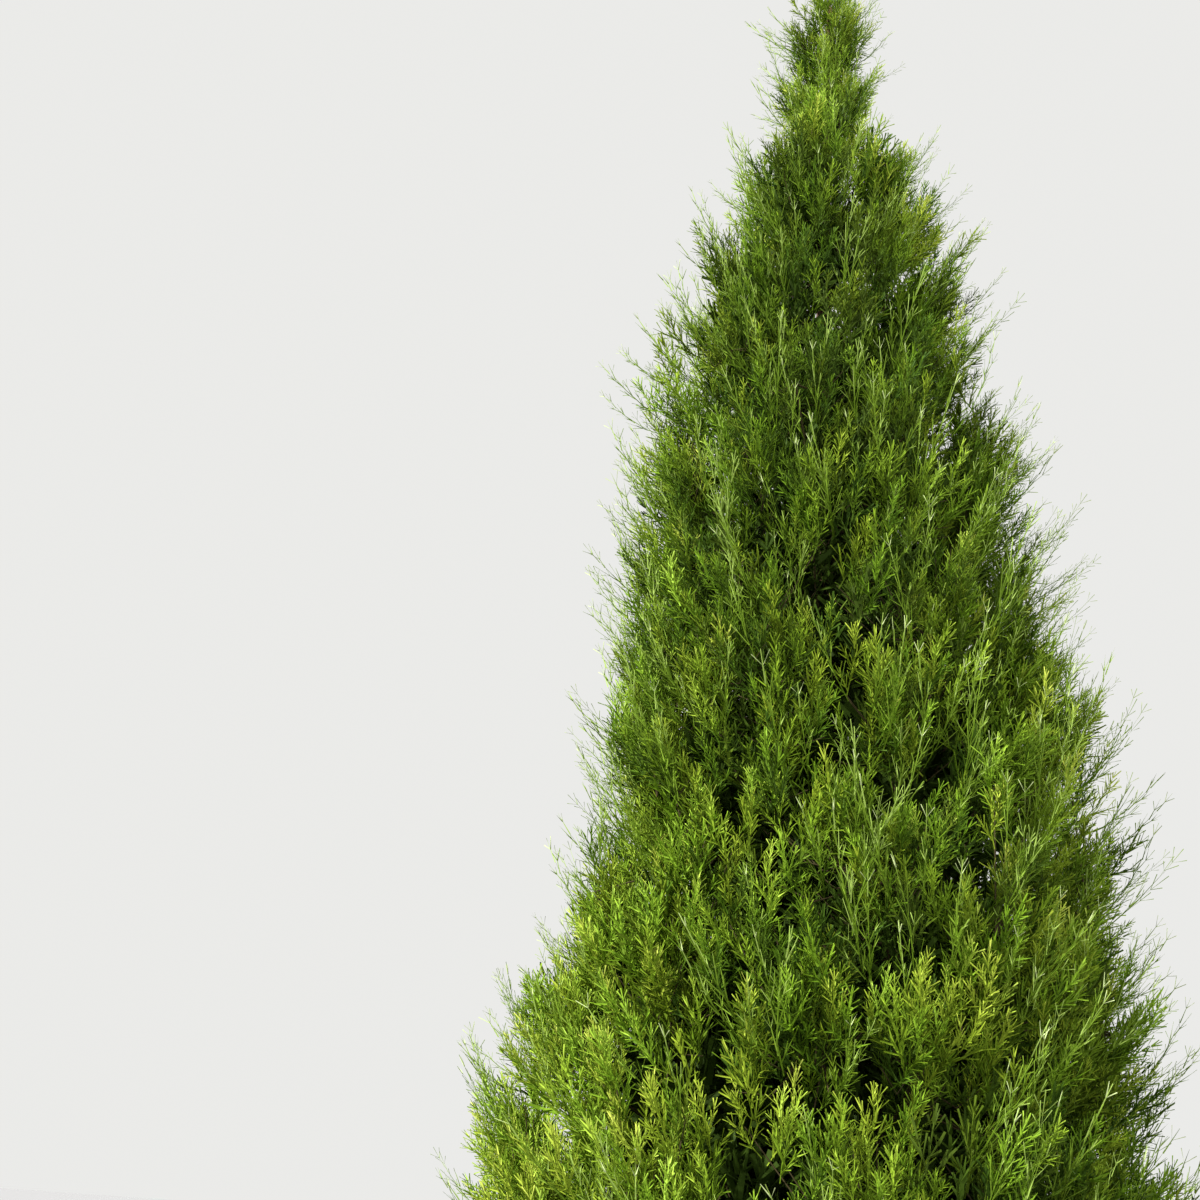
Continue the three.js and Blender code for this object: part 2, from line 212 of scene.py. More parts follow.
# Plumes on a shoot, from its foot to its tip, and the one at its tip
WITHIN_STEP = (0.2, 0.8)
PLUME_START = 0.1
PLUME_RUN = 0.82
PLUME_SPREAD = (1, 0.5)
PLUME_SPREAD_STRAY = (0.8, 1.2)
PLUME_RISE = 0.5
PLUME_SIZE = (1.1, 0.75)
PLUME_SIZE_STRAY = (0.85, 1.15)
TIP_PLUME_AT = 0.95
TIP_PLUME_RISE = 0.3
TIP_PLUME_SIZE = 0.8

# Blades: where pairs of them stand on a plume, their angle and their share of its length
PAIR_RUN = (0.06, 0.72)
BLADE_ANGLE = (0.66, 0.44)
BLADE_SHARE = (0.46, 0.34)
BLADE_TWIST = math.radians(75)
BLADE_TAPER = 0.5
BLADE_STRAY = (0.75, 1.25)
BLADE_TURN_STRAY = (-0.4, 0.4)
BLADE_WIDTHS = (0.8, 1.1)
# Blades and plumes lighter towards a spray's tips: partly paler young growth, partly painted light on the
# tips and painted shade at the foot
YOUNG_AND_LIT_FROM = 0.5
YOUNG_AND_LIT_STEPS = 2
YOUNG_AND_LIT_STRAY = (-0.8, 0.5)

# The four sorts of spray: full ones, wisps of this year's growth, broad ones deep inside, and fine
# ones close under the outer ones. Then how many shapes there are of each.
FULL = dict(height=0.125, reach=0.05, plumes=6, plume_length=0.076, pairs=4, width=0.0046, spread=0.7)
WISP = dict(height=0.23, reach=0.06, plumes=9, plume_length=0.07, pairs=1, width=0.0027, spread=0.45)
DEEP = dict(height=0.12, reach=0.07, plumes=6, plume_length=0.09, pairs=1, width=0.014, spread=1.3)
UNDER = dict(height=0.13, reach=0.05, plumes=5, plume_length=0.085, pairs=2, width=0.0085, spread=0.8)
FULL_SHAPES = 6
WISP_SHAPES = 3
DEEP_SHAPES = 3
UNDER_SHAPES = 3

# Sprays on a branchlet
SPRAY_SMALL = 0.82
OUTER_SPRAYS = (2.6, 6.6)
OUTER_RUN = 0.12
LEAST_BARE = 0.15
SPRAY_LEAN = (0.2, 0.55)
SPRAY_STRAY = (-0.38, 0.38)
SPRAY_SIZE = (0.8, 1.15)
WISP_SHARE = (0.15, 0.75)
WISPS_TOGETHER = 2
WISP_LEAN = (0.35, 0.9)
WISP_TURN = (-0.8, 0.8)
WISP_SIZE = (0.95, 1.3)

# How light sprays are, in tones: a higher one is lighter. Besides differing at random, tones paint light
# and shade: darker deeper along a branchlet and in the crown's hollows
MIDDLE_TONE = 1.3
# Painted shade: how many tones lighter sprays are at a branchlet's outer end than deeper in
TONES_ALONG = 1.1
SPRAY_TONES = (-1.4, 1.4)
BRANCHLET_TONES = (-2.2, 2.2)
SHADE_IN_HOLLOWS = 11
HALF_A_TONE = 0.5

# Sprays inside the crown, which grow on limbs of their own too: fine ones close under the outer ones,
# then broad ones, which are bigger the deeper they are. Both are darker than the outer sprays: painted
# shade.
INNER_ENDS = (25, 68)
INNER_OUT = (0.06, 0.7)
INNER_SPACING = 0.038
INNER_DEPTH = 0.125
UNDER_DEPTH = 0.08
UNDER_TONES = (0, 1.6)
DEEP_LEAN = (-0.1, 0.25)
DEEP_GROWTH = (0.85, 1.7)
GROWTH_DEPTH = 0.24

# How sprays fit: where the tips of a full spray and a wisp are, how far each may pass the crown's
# reach, and how one that passes it shrinks
SPRAY_TIP = (0.045, 0, 0.188)
WISP_TIP = (0.045, 0, 0.27)
TIP_SLACK = 0.03
WISP_SLACK = 0.09
FURTHEST_TIP = 0.87
FIT_TRIES = 4
FIT_SHRINK = 0.86

# The leader, round the tip of the trunk. Its wisps start just off its middle, so each has a way out.
LEADER_FOOT = 4.38
LEADER_TOP = 0.135
LEADER_TIP_RADIUS = 0.002
LEADER_STEPS = 4
LEADER_TONE = 2
LEADER_WISPS = 16
LEADER_SPRAYS = 44
LEADER_SIZE = 0.55
OFF_THE_MIDDLE = Vector((0.001, 0, 0))

# Painted light and shade: where sprays are lighter (+) or darker (-) than the rest, as light falls on the
# crown: direction in degrees, height, width in degrees, how tall and how many tones
TONE_SHAPE = (
    (210, 1.7, 35, 0.8, 2.8),
    (330, 2.2, 40, 0.8, 1.1),
    (270, 3.4, 50, 0.6, -2.1),
    (300, 3.7, 25, 0.5, -0.6),
    (200, 3.5, 25, 0.8, 1.3),
    (90, 5, 400, 0.8, 1.2),
)

# Painted light and shade in lighter and darker patches all over, like the shade between plumes: turns
# round the crown, turns up it and start
PATCH_TONES = 4.4
PATCH_WAVES = (
    (11, 9, 0),
    (9, -13, 2),
)

# Mending: places tried all over the crown's skin, and how far one may be from every outer spray, at
# the ground and at the top, before it gets more. The skirt is mended more closely.
MEND_TRIES = 4600
MEND_TURN = math.radians(68.75)
MEND_LOWEST = 0.17
MEND_DEPTH = (0.05, 0.1)
MEND_GAP = (0.054, 0.073)
MEND_SKIRT = 0.35
MEND_HIGHEST = 4.7
MEND_SPRAYS = 2
MEND_TONE = -0.4

# Plain colours of old shoots from dark to light, lit and shaded copies of one green that paint light and
# shade; the lightest of them that leaves room for a spray's lighter tips, the hues they come in, and the
# colours of wisps
LEAF_TONES = (
    (0.042, 0.078, 0.009),
    (0.050, 0.090, 0.009),
    (0.068, 0.120, 0.008),
    (0.104, 0.174, 0.010),
    (0.155, 0.246, 0.015),
    (0.221, 0.332, 0.025),
    (0.310, 0.432, 0.045),
    (0.412, 0.527, 0.080),
)
HIGHEST_TONE = len(LEAF_TONES) - 2 - YOUNG_AND_LIT_STEPS
LEAF_HUES = (
    (0.9, 1.0, 0.95),
    (1.0, 1.0, 1.0),
    (1.11, 0.99, 1.08),
)
# Colours of wisps: paler as young growth, and their palest is a painted highlight on the tips
PALE_TONES = (
    (0.092, 0.160, 0.010),
    (0.150, 0.240, 0.022),
    (0.265, 0.375, 0.078),
    (0.440, 0.520, 0.240),
)
# Painted shade: the one dark colour of the broad sprays deep inside, for the shade within the crown
DEEP_TONE = (0.029, 0.054, 0.006)
TWIG_TONE = (0.052, 0.042, 0.019)
LEAF_ROUGHNESS = 0.55
TWIG_ROUGHNESS = 0.8
PLAIN_SHINE = 0.05

# Bark: patterns of (scale across the grain, scale along it, detail), and stops of (value, colour)
STRIPS = (110, 5, 5)
PATCHES = (14, 3, 3)
FIBRES = (420, 14, 3)
FRESH_BARK = (
    (0.3, (0.035, 0.016, 0.009)),
    (0.5, (0.16, 0.075, 0.042)),
    (0.7, (0.27, 0.15, 0.095)),
)
GREY_BARK = (
    (0.3, (0.04, 0.03, 0.024)),
    (0.5, (0.17, 0.135, 0.11)),
    (0.72, (0.34, 0.29, 0.245)),
)
WEATHERED = ((0.4, (0, 0, 0)), (0.62, (1, 1, 1)))
BARK_ROUGHNESS = ((0.3, (0.95, 0.95, 0.95)), (0.7, (0.75, 0.75, 0.75)))
BARK_SHINE = 0.2
FIBRE_STRENGTH = 0.6
FIBRE_DEPTH = 0.002

# Bark relief: ridges come up between two values of the noise, and stand in and out by half a height
RIDGE_RANGE = (0.32, 0.66)
RIDGE_STANDING = (-0.5, 0.5)
RIDGE_DETAIL = 5
TRUNK_RIDGES = 0.006
BOUGH_RIDGES = 0.002

# Camera, as the photo was taken
CAMERA_DISTANCE = 3.51
CAMERA_HEIGHT = 1.6
CAMERA_PITCH = math.radians(21.0)
CAMERA_YAW = math.radians(9.05)
CAMERA_ROLL = math.radians(3.8)
CAMERA_LENS = 45.7
SENSOR_WIDTH = 36
CAMERA_SEES = 200

# Floor, world and lamps: name, position, strength and softness in degrees
FLOOR_HALF = 60
FLOOR_COLOUR = (0.33, 0.33, 0.3366)
FLOOR_ROUGHNESS = 0.9
WORLD_COLOUR = (0.92, 0.92, 0.9)
WORLD_STRENGTH = 0.9
LAMP_COLOUR = (1, 0.985, 0.95)
LAMP_AIM = Vector((0, 0, 2.4))
LAMPS = (
    ("key", (-8.8, -5.8, 8.4), 8.3, 5),
    ("fill", (7, -6, 4), 1.8, 40),
    ("back", (4, 8, 6), 1.3, 40),
)

# Sockets of nodes that share their names with others, so they go by number
MIX_FIRST = 6
MIX_SECOND = 7
MIX_RESULT = 2
CHANCE_LEAST = 2
CHANCE_MOST = 3
CHANCE_RESULT = 1

UP = Vector((0, 0, 1))


def lerp(a, b, t):
    return a + (b - a) * t


def seeded(seed):
    """A stream of random numbers from 0 to 1 that is the same for the same seed."""
    mask = 0xFFFFFFFF
    state = seed & mask

    def draw():
        nonlocal state
        state = (state + 0x6D2B79F5) & mask
        mixed = ((state ^ (state >> 15)) * (state | 1)) & mask
        mixed ^= (mixed + (((mixed ^ (mixed >> 7)) * (mixed | 61)) & mask)) & mask
        return (mixed ^ (mixed >> 14)) / 4294967296

    return draw


def between(random, limits):
    return lerp(limits[0], limits[1], random())


def outline_radius(height):
    """Half width of the smooth crown at a height."""
    share = min(max(height / HEIGHT, 0), 1)
    below = min(max(1 - height / SKIRT_HEIGHT, 0), 1)
    return CROWN_RADIUS * (1 - share**CROWN_POWER) * (1 - SKIRT_TUCK * below * below)


def spoke_at(azimuth):
    """A level direction towards an azimuth."""
    return Vector((math.cos(azimuth), math.sin(azimuth), 0))


def turns_round(count):
    """The azimuths of places spread evenly round a circle."""
    return [k * math.tau / count for k in range(count)]


def trunk_centre(height):
    x, y = (sway * math.sin(height / length) for sway, length in zip(SWAY, SWAY_LENGTH))
    return Vector((x, y, height))


def trunk_radius(height):
    left = max(0, 1 - height / TRUNK_TIP)
    return TRUNK_TIP_RADIUS + (TRUNK_RADIUS - TRUNK_TIP_RADIUS) * left**TRUNK_TAPER


def flare_radius(height, azimuth):
    lobes = 1 + FLARE_LOBE_SHARE * math.cos(FLARE_LOBES * azimuth)
    return FLARE_RADIUS * math.exp(-height / FLARE_HEIGHT) * lobes


def arch(radius):
    return radius * (ARCH_START + ARCH_CURVE * radius)


def height_on(birth, radius):
    return birth + (LOW_STEEPNESS + STEEPNESS_GAIN * birth) * arch(radius)


def reach_of(birth):
    """Radius at which the bough line of a birth height leaves the crown."""
    low, high = 0, CROWN_RADIUS
    for _ in range(REACH_STEPS):
        middle = (low + high) / 2
        if outline_radius(height_on(birth, middle)) > middle:
            low = middle
        else:
            high = middle
    return low


def place(space, out, side, lift):
    """A place in a mass's own space: out from 0 at the trunk to 1 at the outline, side and lift
    from -1 to 1 across the space."""
    birth = space.birth + lift * space.half_band
    azimuth = space.azimuth + side * space.half_sector
    radius = lerp(trunk_radius(birth), space.vigour * reach_of(birth), out)
    return trunk_centre(height_on(birth, radius)) + spoke_at(azimuth) * radius


def stem_at(space, t):
    return place(space, lerp(space.stem_out, STEM_END, t), 0, STEM_LIFT + STEM_RISE * t)


def outward_at(point):
    return (point - trunk_centre(point.z)).to_2d().to_3d().normalized()


def azimuth_at(point):
    outward = outward_at(point)
    return math.atan2(outward.y, outward.x)


def curve_point(path, t):
    """A point on the smooth curve through three points, and its direction."""
    a, b, c = path
    point = a * (1 - t) * (1 - 2 * t) + b * 4 * t * (1 - t) + c * t * (2 * t - 1)
    direction = a * (4 * t - 3) + b * (4 - 8 * t) + c * (4 * t - 1)
    return point, direction.normalized()


def masses():
    """The space of each mass of foliage, as in the solids."""
    half_band = (LAST_BIRTH - FIRST_BIRTH) / len(MASSES_ROUND) / 2
    for tier, around in enumerate(MASSES_ROUND):
        carried = tier < TIERS_WITH_BOUGHS
        for i in range(around):
            seed = SEED + SEED_PER_TIER * tier + SEED_PER_MASS * i
            yield SimpleNamespace(
                number=f"{tier + 1}_{i + 1}",
                carried=carried,
                birth=FIRST_BIRTH + (2 * tier + 1) * half_band,
                half_band=half_band,
                azimuth=(2 * i + tier) * math.pi / around,
                half_sector=math.pi / around,
                vigour=between(seeded(seed), VIGOUR),
                stem_out=BOUGH_OUT if carried else 0,
                twigs=TWIGS[tier],
                seed=seed,
            )


def twig_paths(space):
    """The twigs of a mass fan out from its stem across the space, each to a place of its own."""
    random = seeded(space.seed)
    paths = []
    for i in range(space.twigs):
        start = lerp(*TWIG_START, (i + between(random, TWIG_SHIFT)) / space.twigs)
        side = TWIG_SIDE * (2 * ((0.5 + GOLDEN * i) % 1) - 1) + between(random, TWIG_STRAY)
        lift = lerp(*TWIG_LIFT, (i + 0.5) / space.twigs) + between(random, TWIG_STRAY)
        out = between(random, TWIG_OUT)
        start_out = lerp(space.stem_out, STEM_END, start)
        start_lift = STEM_LIFT + STEM_RISE * start
        middle = place(space, (start_out + out) / 2, TWIG_BEND * side, lerp(start_lift, lift, TWIG_BEND))
        paths.append((stem_at(space, start), middle, place(space, out, side, lift)))
    return paths


def new_object(name, data):
    """An object in the scene."""
    made = bpy.data.objects.new(name, data)
    bpy.context.scene.collection.objects.link(made)
    return made


def add_node(tree, kind, sockets, **settings):
    """A new node in a tree, with its settings. Each of the input sockets given, by name or number, is
    set to a value or joined to another node's result."""
    node = tree.nodes.new(kind)
    for name, value in settings.items():
        setattr(node, name, value)
    for name, value in sockets.items():
        if isinstance(value, bpy.types.NodeSocket):
            tree.links.new(value, node.inputs[name])
        else:
            node.inputs[name].default_value = value
    return node


# Materials
def plain_material(name, colour, roughness):
    material = bpy.data.materials.new(name)
    material.use_nodes = True
    shader = material.node_tree.nodes["Principled BSDF"]
    shader.inputs["Base Color"].default_value = (*colour, 1)
    shader.inputs["Roughness"].default_value = roughness
    shader.inputs["Specular IOR Level"].default_value = PLAIN_SHINE
    return material


def leaf_colours():
    """The plain colours, in the order that a spray's tone counts them: dark to light for each hue of
    old shoots, lit and shaded copies that paint light and shade, then for the pale young wisps, their
    palest a painted highlight, then the one deep inside, dark as painted shade."""
    for hue in LEAF_HUES:
        for tone in LEAF_TONES:
            yield [part * share for part, share in zip(tone, hue)]
    yield from PALE_TONES
    yield DEEP_TONE


leaf_materials = [
    plain_material(f"scale leaf tone {i + 1}", colour, LEAF_ROUGHNESS)
    for i, colour in enumerate(leaf_colours())
]
twig_material = plain_material("young twig bark", TWIG_TONE, TWIG_ROUGHNESS)


def bark_material():
    """Red-brown fibrous bark, grey in weathered patches, darker in the furrows of its relief and lighter on
    its ridges; its pattern runs with the grain.
    """
    material = bpy.data.materials.new("shredding cedar bark")
    material.use_nodes = True
    tree = material.node_tree
    grain = add_node(tree, "ShaderNodeAttribute", {}, attribute_name="grain").outputs["Vector"]

    def noise(scale_across, scale_along, detail):
        sockets = {"Vector": grain, "Scale": (scale_across, scale_across, scale_along)}
        stretched = add_node(tree, "ShaderNodeMapping", sockets).outputs["Vector"]
        sockets = {"Vector": stretched, "Scale": 1, "Detail": detail}
        return add_node(tree, "ShaderNodeTexNoise", sockets).outputs["Fac"]

    def ramp(factor, stops):
        node = add_node(tree, "ShaderNodeValToRGB", {"Fac": factor})
        for _ in range(len(stops) - 2):
            node.color_ramp.elements.new(0.5)
        for element, (position, colour) in zip(node.color_ramp.elements, stops):
            element.position = position
            element.color = (*colour, 1)
        return node.outputs["Color"]

    strips, patches, fibres = (noise(*pattern) for pattern in (STRIPS, PATCHES, FIBRES))
    sockets = {
        "Factor": ramp(patches, WEATHERED),
        MIX_FIRST: ramp(strips, FRESH_BARK),
        MIX_SECOND: ramp(strips, GREY_BARK),
    }
    colour = add_node(tree, "ShaderNodeMix", sockets, data_type="RGBA").outputs[MIX_RESULT]
    sockets = {"Height": fibres, "Strength": FIBRE_STRENGTH, "Distance": FIBRE_DEPTH}
    bump = add_node(tree, "ShaderNodeBump", sockets).outputs["Normal"]
    shader = tree.nodes["Principled BSDF"]
    shader.inputs["Specular IOR Level"].default_value = BARK_SHINE
    tree.links.new(colour, shader.inputs["Base Color"])
    tree.links.new(ramp(strips, BARK_ROUGHNESS), shader.inputs["Roughness"])
    tree.links.new(bump, shader.inputs["Normal"])
    return material


bark = bark_material()


# Spray shapes: shoots set with blades, each of which stands for a shoot that scale leaves clothe
class SprayShape:
    """Gathers the faces of a spray, each with how many tones lighter it is than the spray's foot."""

    def __init__(self):
        self.points = []
        self.faces = []
        self.steps = []

    def add_blade(self, root, direction, face, length, width, step):
        """A blade: a narrow strip with a blunt end, twisted so that it shows from every side."""
        across = direction.cross(face).normalized()
        proud = across.cross(direction).normalized()
        end = root + direction * length
        foot = across * (width / 2)
        head = (across * math.cos(BLADE_TWIST) + proud * math.sin(BLADE_TWIST)) * (width / 2 * BLADE_TAPER)
        first = len(self.points)
        self.points += [root - foot, root + foot, end + head, end - head]
        self.faces += [(first, first + 1, first + 2), (first, first + 2, first + 3)]
        self.steps += [step, step]

    def add_shoot(self, path, radius, step):
        """A three-sided shoot along a path, pointed at its end."""
        first = len(self.points)
        for k, (point, direction) in enumerate(path[:-1]):
            side = direction.orthogonal().normalized()
            for corner in range(3):
                spoke = Quaternion(direction, corner * math.tau / 3) @ side
                self.points.append(point + spoke * radius * (1 - SHOOT_TAPER * k / len(path)))
        self.points.append(path[-1][0])
        for k in range(len(path) - 2):
            for corner in range(3):
                a = first + 3 * k + corner
                b = first + 3 * k + (corner + 1) % 3
                self.faces += [(a, b, b + 3), (a, b + 3, a + 3)]
                self.steps += [step, step]
        last = first + 3 * (len(path) - 2)
        for corner in range(3):
            self.faces.append((last + corner, last + (corner + 1) % 3, len(self.points) - 1))
            self.steps.append(step)

    def mesh(self, name):
        mesh = bpy.data.meshes.new(name)
        mesh.from_pydata(self.points, [], self.faces)
        step = mesh.attributes.new("step", "INT", "FACE")
        step.data.foreach_set("value", self.steps)
        return mesh


def turned(direction, angle, azimuth):
    """A direction tilted by an angle from another, towards an azimuth round it."""
    side = Quaternion(direction, azimuth) @ direction.orthogonal().normalized()
    return (direction * math.cos(angle) + side * math.sin(angle)).normalized(), side


def grow_plume(shape, random, root, direction, length, pairs, width, step):
    """A plume: one long blade, with shorter blades that stand off it in pairs, each across the last."""
    tip = root + direction * length
    shape.add_blade(root, direction, direction.orthogonal(), length, width, step)
    azimuth = random() * math.tau
    for pair in range(pairs):
        t = lerp(*PAIR_RUN, (pair + between(random, WITHIN_STEP)) / pairs)
        azimuth += math.pi / 2
        for turn in (0, math.pi):
            angle = lerp(*BLADE_ANGLE, t) * between(random, BLADE_STRAY)
            way, side = turned(direction, angle, azimuth + turn + between(random, BLADE_TURN_STRAY))
            blade = length * lerp(*BLADE_SHARE, t) * between(random, BLADE_STRAY)
            lighter = 1 if t > YOUNG_AND_LIT_FROM else 0
            wide = width * between(random, BLADE_WIDTHS)
            shape.add_blade(root.lerp(tip, t), way, side, blade, wide, step + lighter)


def grow_spray(seed, lightens, height, reach, plumes, plume_length, pairs, width, spread):
    """A spray: its shoot leaves sideways and turns up, with plumes all round it and one at its tip."""
    random = seeded(seed)
    shape = SprayShape()
    stray = Vector((0, between(random, SHOOT_STRAY), 0)) * height
    bend = Vector((SHOOT_BEND[0] * reach, 0, SHOOT_BEND[1] * height))
    path = (Vector((0, 0, 0)), bend, Vector((reach, 0, height)) + stray)
    shape.add_shoot([curve_point(path, t) for t in SHOOT_STATIONS], SHOOT_RADIUS, 0)
    azimuth = random() * math.tau
    for i in range(plumes):
        t = PLUME_START + PLUME_RUN * (i + between(random, WITHIN_STEP)) / plumes
        azimuth += GOLDEN_TURN
        root, along = curve_point(path, t)
        angle = spread * lerp(*PLUME_SPREAD, t) * between(random, PLUME_SPREAD_STRAY)
        way, _ = turned(along.lerp(UP, PLUME_RISE).normalized(), angle, azimuth)
        size = plume_length * lerp(*PLUME_SIZE, t) * between(random, PLUME_SIZE_STRAY)
        step = round(YOUNG_AND_LIT_STEPS * t + between(random, YOUNG_AND_LIT_STRAY))
        grow_plume(shape, random, root, way, size, pairs, width, min(max(step, 0), YOUNG_AND_LIT_STEPS))
    root, along = curve_point(path, TIP_PLUME_AT)
    way = along.lerp(UP, TIP_PLUME_RISE).normalized()
    grow_plume(shape, random, root, way, plume_length * TIP_PLUME_SIZE, pairs, width, YOUNG_AND_LIT_STEPS)
    if not lightens:
        shape.steps = [0] * len(shape.steps)
    return shape


def spray_library():
    """The spray shapes, in the order that a point's kind counts them."""
    library = bpy.data.collections.new("spray shapes")
    shapes = [grow_spray(FULL_SHAPE_SEED + i, True, **FULL) for i in range(FULL_SHAPES)]
    shapes += [grow_spray(WISP_SHAPE_SEED + i, True, **WISP) for i in range(WISP_SHAPES)]
    shapes += [grow_spray(DEEP_SHAPE_SEED + i, False, **DEEP) for i in range(DEEP_SHAPES)]
    shapes += [grow_spray(UNDER_SHAPE_SEED + i, False, **UNDER) for i in range(UNDER_SHAPES)]
    for i, shape in enumerate(shapes):
        name = f"spray shape {i:02d}"
        library.objects.link(bpy.data.objects.new(name, shape.mesh(name)))
    return library


# Geometry Nodes
def new_tree(name, sizes):
    """An empty tree of nodes with a geometry in and out and a named input for each size."""
    tree = bpy.data.node_groups.new(name, "GeometryNodeTree")
    tree.interface.new_socket("Geometry", in_out="INPUT", socket_type="NodeSocketGeometry")
    tree.interface.new_socket("Geometry", in_out="OUTPUT", socket_type="NodeSocketGeometry")
    for label, kind, value in sizes:
        socket = tree.interface.new_socket(label, in_out="INPUT", socket_type=f"NodeSocket{kind}")
        if value is not None:
            socket.default_value = value
    return tree


def worked_out(tree, operation, first, second):
    """The result of a sum on two values, each a number or another node's result."""
    return add_node(tree, "ShaderNodeMath", {0: first, 1: second}, operation=operation).outputs[0]


def end_tree(tree, geometry, material):
    """The end of a tree of nodes: everything made real, with one material on it."""
    real = add_node(tree, "GeometryNodeRealizeInstances", {"Geometry": geometry}).outputs["Geometry"]
    paint = add_node(tree, "GeometryNodeSetMaterial", {"Geometry": real, "Material": material})
    add_node(tree, "NodeGroupOutput", {"Geometry": paint.outputs["Geometry"]})


def named_value(tree, name, kind):
    node = add_node(tree, "GeometryNodeInputNamedAttribute", {"Name": name}, data_type=kind)
    return node.outputs["Attribute"]


def spray_tree():
    """Sets a spray shape on each point, turned and sized, and gives each face its colour: the point's
    own tone, up to three tones lighter towards the spray's tips, as young growth and painted light."""
    sizes = (
        ("Shapes", "Collection", None),
        ("Size", "Float", 1.0),
        ("Size spread", "Float", 0.08),
        ("Seed", "Int", 7),
    )
    tree = new_tree("sprays on branchlets", sizes)
    inputs = tree.nodes.new("NodeGroupInput").outputs
    sockets = {
        CHANCE_LEAST: worked_out(tree, "SUBTRACT", 1, inputs["Size spread"]),
        CHANCE_MOST: worked_out(tree, "ADD", 1, inputs["Size spread"]),
        "Seed": inputs["Seed"],
    }
    stray = add_node(tree, "FunctionNodeRandomValue", sockets, data_type="FLOAT").outputs[CHANCE_RESULT]
    own_size = worked_out(tree, "MULTIPLY", named_value(tree, "size", "FLOAT"), stray)
    sockets = {"Collection": inputs["Shapes"], "Separate Children": True, "Reset Children": True}
    shapes = add_node(tree, "GeometryNodeCollectionInfo", sockets).outputs["Instances"]
    sockets = {"Euler": named_value(tree, "turn", "FLOAT_VECTOR")}
    turn = add_node(tree, "FunctionNodeEulerToRotation", sockets).outputs["Rotation"]
    sockets = {
        "Points": inputs["Geometry"],
        "Instance": shapes,
        "Pick Instance": True,
        "Instance Index": named_value(tree, "kind", "INT"),
        "Rotation": turn,
        "Scale": worked_out(tree, "MULTIPLY", own_size, inputs["Size"]),
    }
    instances = add_node(tree, "GeometryNodeInstanceOnPoints", sockets).outputs["Instances"]
    made = add_node(tree, "GeometryNodeRealizeInstances", {"Geometry": instances}).outputs["Geometry"]
    tone = worked_out(tree, "ADD", named_value(tree, "tone", "INT"), named_value(tree, "step", "INT"))
    for number, material in enumerate(leaf_materials):
        sockets = {"A": tone, "B": number, "Epsilon": HALF_A_TONE}
        same = add_node(tree, "FunctionNodeCompare", sockets, data_type="FLOAT", operation="EQUAL")
        sockets = {"Geometry": made, "Selection": same.outputs[0], "Material": material}
        made = add_node(tree, "GeometryNodeSetMaterial", sockets).outputs["Geometry"]
    add_node(tree, "NodeGroupOutput", {"Geometry": made})
    return tree


def twig_tree():
    """Turns lines with a thickness at each point into tapering limbs."""
    tree = new_tree("twigs along lines", (("Sides", "Int", 4), ("Thickness", "Float", 1.0)))
    inputs = tree.nodes.new("NodeGroupInput").outputs
    line = add_node(tree, "GeometryNodeMeshToCurve", {"Mesh": inputs["Geometry"]})
    ring = add_node(tree, "GeometryNodeCurvePrimitiveCircle", {"Resolution": inputs["Sides"], "Radius": 1})
    sockets = {
        "Curve": line.outputs["Curve"],
        "Profile Curve": ring.outputs["Curve"],
        "Scale": worked_out(tree, "MULTIPLY", named_value(tree, "thickness", "FLOAT"), inputs["Thickness"]),
        "Fill Caps": True,
    }
    end_tree(tree, add_node(tree, "GeometryNodeCurveToMesh", sockets).outputs["Mesh"], twig_material)
    return tree


def relief_tree():
    """Raises ridges and strips on bark, straight out from the limb's middle line."""
    sizes = (
        ("Ridge height", "Float", TRUNK_RIDGES),
        ("Ridges across", "Float", float(STRIPS[0])),
        ("Ridges along", "Float", float(STRIPS[1])),
    )
    tree = new_tree("bark relief", sizes)
    inputs = tree.nodes.new("NodeGroupInput").outputs
    across, along = inputs["Ridges across"], inputs["Ridges along"]
    stretch = add_node(tree, "ShaderNodeCombineXYZ", {"X": across, "Y": across, "Z": along})
    sockets = {0: named_value(tree, "grain", "FLOAT_VECTOR"), 1: stretch.outputs["Vector"]}
    pattern = add_node(tree, "ShaderNodeVectorMath", sockets, operation="MULTIPLY").outputs["Vector"]
    sockets = {"Vector": pattern, "Scale": 1, "Detail": RIDGE_DETAIL}
    noise = add_node(tree, "ShaderNodeTexNoise", sockets).outputs["Fac"]
    sockets = dict(zip(("From Min", "From Max", "To Min", "To Max"), RIDGE_RANGE + RIDGE_STANDING))
    sockets["Value"] = noise
    ridge = add_node(tree, "ShaderNodeMapRange", sockets, interpolation_type="SMOOTHSTEP")
    height = worked_out(tree, "MULTIPLY", ridge.outputs["Result"], inputs["Ridge height"])
    sockets = {0: named_value(tree, "outward", "FLOAT_VECTOR"), "Scale": height}
    offset = add_node(tree, "ShaderNodeVectorMath", sockets, operation="SCALE").outputs["Vector"]
    sockets = {"Geometry": inputs["Geometry"], "Offset": offset}
    end_tree(tree, add_node(tree, "GeometryNodeSetPosition", sockets).outputs["Geometry"], bark)
    return tree


def made_by(tree, mesh, name, **sizes):
    """Runs a tree of nodes on a mesh and returns the plain result as an object."""
    carrier = new_object(name + " carrier", mesh)
    modifier = carrier.modifiers.new("grow", "NODES")
    modifier.node_group = tree
    for item in tree.interface.items_tree:
        label = item.name.lower().replace(" ", "_")
        if item.item_type == "SOCKET" and label in sizes:
            modifier[item.identifier] = sizes[label]
    carrier.update_tag()
    depsgraph = bpy.context.evaluated_depsgraph_get()
    result = bpy.data.meshes.new_from_object(carrier.evaluated_get(depsgraph))
    result.name = name
    bpy.data.objects.remove(carrier)
    return new_object(name, result)


